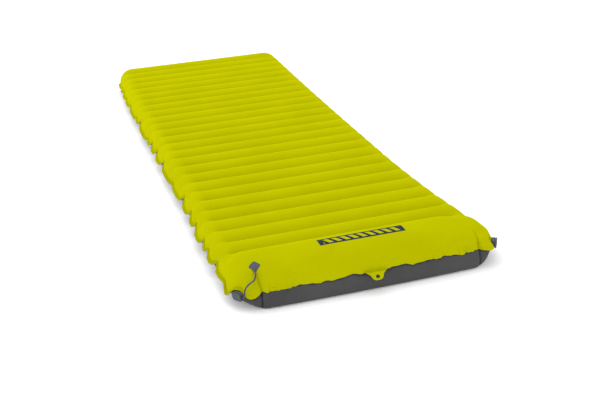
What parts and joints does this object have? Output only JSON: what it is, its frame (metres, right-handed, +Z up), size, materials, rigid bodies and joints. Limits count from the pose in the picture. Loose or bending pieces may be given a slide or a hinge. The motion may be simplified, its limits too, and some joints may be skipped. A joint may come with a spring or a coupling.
{
  "type": "inflatable sleeping pad",
  "caption": "Rectangular air pad with cross tubes, a raised head chamber, corner valves with plugs, a tethered inflation plug and a small hanging tab.",
  "frame": {"origin": "middle of the pad's footprint on the ground, the hanging tab included", "axes": "+Z up, +Y from the head chamber to the foot end, +X across"},
  "size_m": [0.6334, 1.9458, 0.092],
  "materials": {
    "top_fabric": "matte coated ripstop",
    "bottom_fabric": "matte coated ripstop",
    "web_film": "matte film",
    "valve_tpu": "satin",
    "plug_tpu": "satin",
    "flap_silicone": "matte",
    "tab_fabric": "matte coated",
    "patch_fabric": "matte",
    "tether_tpu": "satin"
  },
  "bodies": {
    "pad": {"top_sheet": "top_fabric", "bottom_sheet": "bottom_fabric", "baffle_web_01": "web_film", "baffle_web_02": "web_film", "baffle_web_03": "web_film", "baffle_web_04": "web_film", "baffle_web_05": "web_film", "baffle_web_06": "web_film", "baffle_web_07": "web_film", "baffle_web_08": "web_film", "baffle_web_09": "web_film", "baffle_web_10": "web_film", "baffle_web_11": "web_film", "baffle_web_12": "web_film", "baffle_web_13": "web_film", "baffle_web_14": "web_film", "baffle_web_15": "web_film", "baffle_web_16": "web_film", "baffle_web_17": "web_film", "baffle_web_18": "web_film", "baffle_web_19": "web_film", "baffle_web_20": "web_film", "baffle_web_21": "web_film", "baffle_web_22": "web_film", "baffle_web_23": "web_film", "baffle_web_24": "web_film", "baffle_web_25": "web_film", "inflate_valve_body": "valve_tpu", "deflate_valve_body": "valve_tpu", "tether_anchor_patch": "patch_fabric", "plug_tether": "tether_tpu"},
    "inflation_plug": {"inflate_plug": "plug_tpu"},
    "deflation_plug": {"deflate_plug": "plug_tpu"},
    "inflation_flap": {"inflate_flap": "flap_silicone"},
    "hanging_tab": {"hang_tab": "tab_fabric"}
  },
  "joints": [
    {"name": "inflate_plug_pull", "type": "slide", "parent": "pad", "child": "inflation_plug", "axis": [-0.8428, -0.5064, -0.1822], "range_m": [0, 0.022], "deforming": ["plug_tether"]},
    {"name": "deflate_plug_pull", "type": "slide", "parent": "pad", "child": "deflation_plug", "axis": [0.8566, -0.5147, -0.0349], "range_m": [0, 0.022]},
    {"name": "inflate_flap_swing", "type": "hinge", "parent": "pad", "child": "inflation_flap", "pos_m": [-0.27353, -0.89777, 0.04884], "axis": [0.515, -0.8572, 0], "range_deg": [0, 50], "stiffness_Nm_per_rad": 0.002},
    {"name": "hang_tab_flex", "type": "hinge", "parent": "pad", "child": "hanging_tab", "pos_m": [0, -0.95802, 0.046], "axis": [1, 0, 0], "range_deg": [-100, 60], "stiffness_Nm_per_rad": 0.004}
  ]
}
